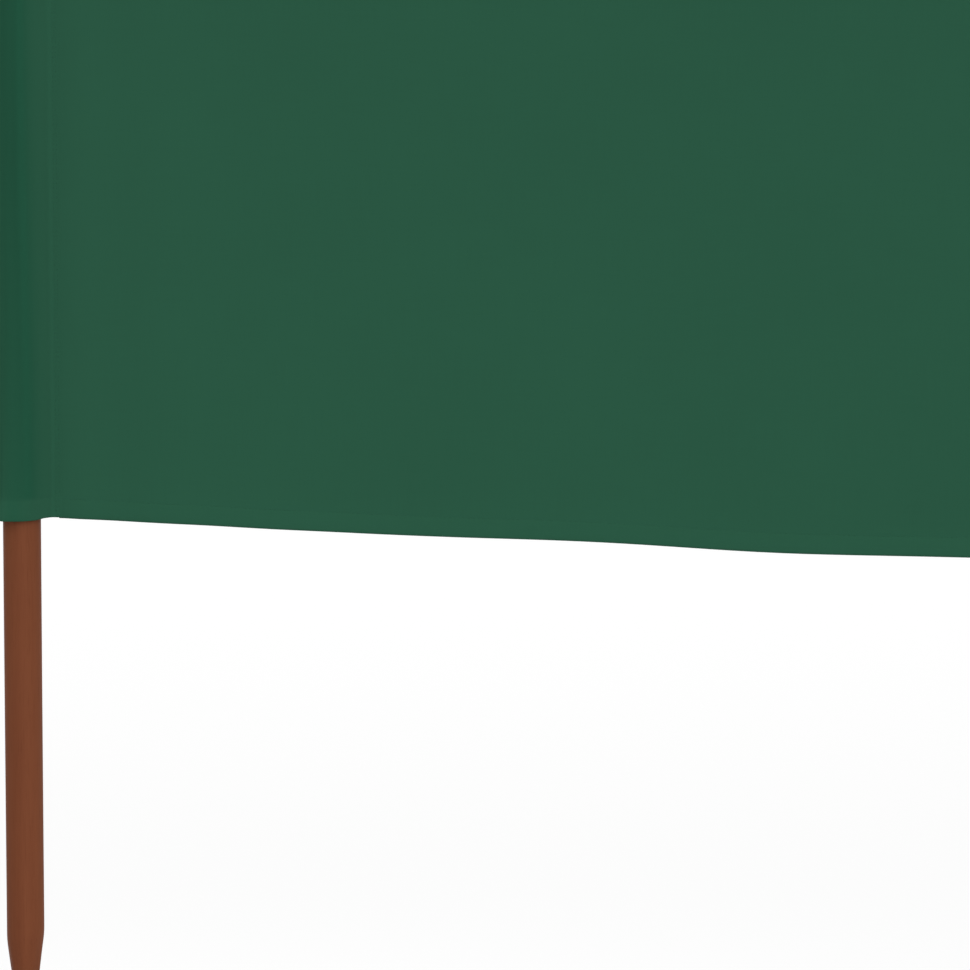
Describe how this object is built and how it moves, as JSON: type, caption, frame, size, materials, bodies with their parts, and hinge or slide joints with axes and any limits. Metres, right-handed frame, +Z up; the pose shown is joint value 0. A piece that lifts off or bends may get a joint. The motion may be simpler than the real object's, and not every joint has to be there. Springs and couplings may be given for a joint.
{
  "type": "beach windbreak",
  "caption": "Beach windbreak: thin green cloth in equal bays, sewn into a sleeve round each pointed wooden pole, standing in a shallow zigzag.",
  "frame": {"origin": "middle of the blunt foot of the fourth pole, the pictured one", "axes": "+X along the row to the right as seen from the front, -Y the front, +Z up"},
  "size_m": [7.9298, 0.2216, 1.6],
  "materials": {
    "pole_wood": "reddish brown stain, satin",
    "windbreak_cloth": "thin plain-woven cloth, matt",
    "hem_cloth": "the same cloth, doubled and stitched, matt"
  },
  "bodies": {
    "root": {"bottom_hem_1": "hem_cloth", "bottom_hem_2": "hem_cloth", "bottom_hem_3": "hem_cloth", "bottom_hem_4": "hem_cloth", "bottom_hem_5": "hem_cloth", "bottom_hem_6": "hem_cloth", "panel_1": "windbreak_cloth", "panel_2": "windbreak_cloth", "panel_3": "windbreak_cloth", "panel_4": "windbreak_cloth", "panel_5": "windbreak_cloth", "panel_6": "windbreak_cloth", "pole_1": "pole_wood", "pole_2": "pole_wood", "pole_3": "pole_wood", "pole_4": "pole_wood", "pole_5": "pole_wood", "pole_6": "pole_wood", "pole_7": "pole_wood", "sleeve_1": "windbreak_cloth", "sleeve_2": "windbreak_cloth", "sleeve_3": "windbreak_cloth", "sleeve_4": "windbreak_cloth", "sleeve_5": "windbreak_cloth", "sleeve_6": "windbreak_cloth", "sleeve_7": "windbreak_cloth", "top_hem_1": "hem_cloth", "top_hem_2": "hem_cloth", "top_hem_3": "hem_cloth", "top_hem_4": "hem_cloth", "top_hem_5": "hem_cloth", "top_hem_6": "hem_cloth"}
  },
  "joints": []
}
